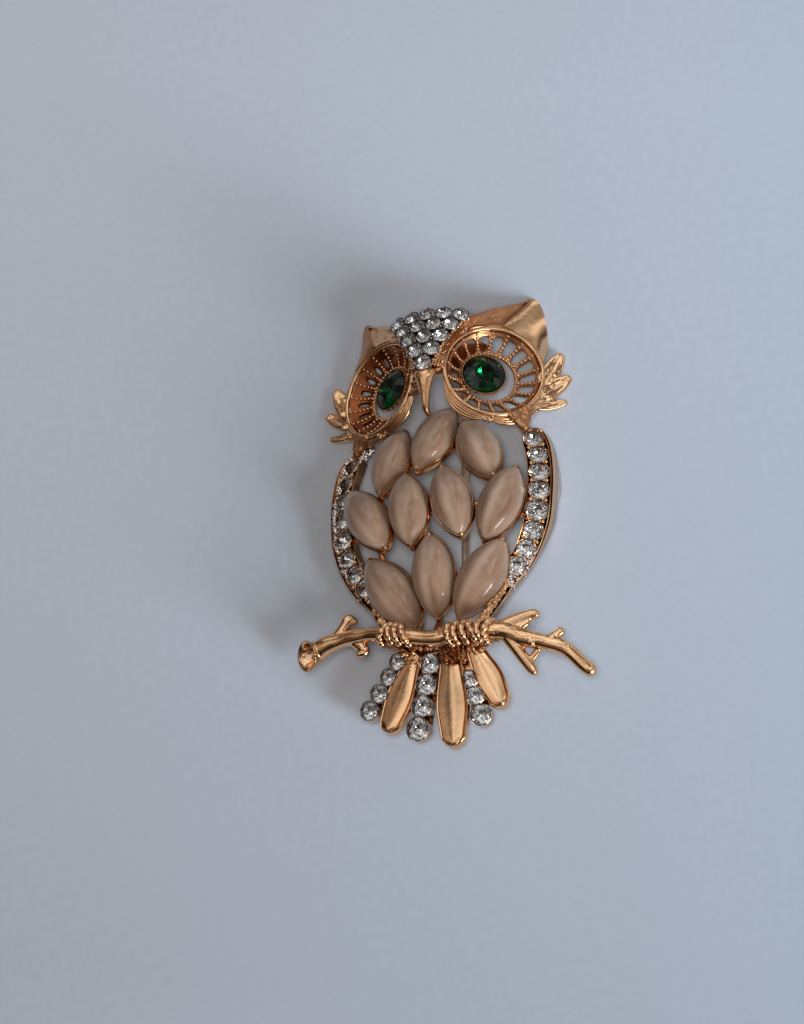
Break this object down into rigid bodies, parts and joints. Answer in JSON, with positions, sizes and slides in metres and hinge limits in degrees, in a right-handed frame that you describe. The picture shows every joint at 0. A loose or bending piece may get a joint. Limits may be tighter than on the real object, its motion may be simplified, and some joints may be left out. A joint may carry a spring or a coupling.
{
  "type": "figural animal brooch",
  "caption": "Openwork owl brooch perched on a branch: plated castings, pointed glass cabochons, green eye stones, pave stones on forehead, wings and tail, pin on the back.",
  "frame": {"origin": "under the middle of the outline, on the surface that the brooch lies on", "axes": "+Z is the front that faces the viewer, +Y runs from the tail to the head, +X is the viewer's right"},
  "size_m": [0.0383, 0.0603, 0.0106],
  "materials": {
    "gold": "polished rose gold plating",
    "pin_metal": "polished rose gold plating",
    "cat_eye_glass": "polished milky beige cat's-eye glass",
    "green_glass": "cut dark green glass, foil backed",
    "crystal": "cut clear glass, foil backed"
  },
  "bodies": {
    "root": {"owl_body": "gold", "owl_head": "gold", "pin_back": "pin_metal", "forehead_stones": "crystal", "eye_stone_left": "green_glass", "eye_stone_right": "green_glass", "cabochon_01": "cat_eye_glass", "cabochon_02": "cat_eye_glass", "cabochon_03": "cat_eye_glass", "cabochon_04": "cat_eye_glass", "cabochon_05": "cat_eye_glass", "cabochon_06": "cat_eye_glass", "cabochon_07": "cat_eye_glass", "cabochon_08": "cat_eye_glass", "cabochon_09": "cat_eye_glass", "cabochon_10": "cat_eye_glass", "wing_stone_left_1": "crystal", "wing_stone_left_2": "crystal", "wing_stone_left_3": "crystal", "wing_stone_left_4": "crystal", "wing_stone_left_5": "crystal", "wing_stone_left_6": "crystal", "wing_stone_left_7": "crystal", "wing_stone_left_8": "crystal", "wing_stone_right_1": "crystal", "wing_stone_right_2": "crystal", "wing_stone_right_3": "crystal", "wing_stone_right_4": "crystal", "wing_stone_right_5": "crystal", "wing_stone_right_6": "crystal", "wing_stone_right_7": "crystal", "wing_stone_right_8": "crystal", "tail_stone_1_1": "crystal", "tail_stone_1_2": "crystal", "tail_stone_1_3": "crystal", "tail_stone_1_4": "crystal", "tail_stone_3_1": "crystal", "tail_stone_3_2": "crystal", "tail_stone_3_3": "crystal", "tail_stone_3_4": "crystal", "tail_stone_5_1": "crystal", "tail_stone_5_2": "crystal", "tail_stone_5_3": "crystal"}
  },
  "joints": []
}
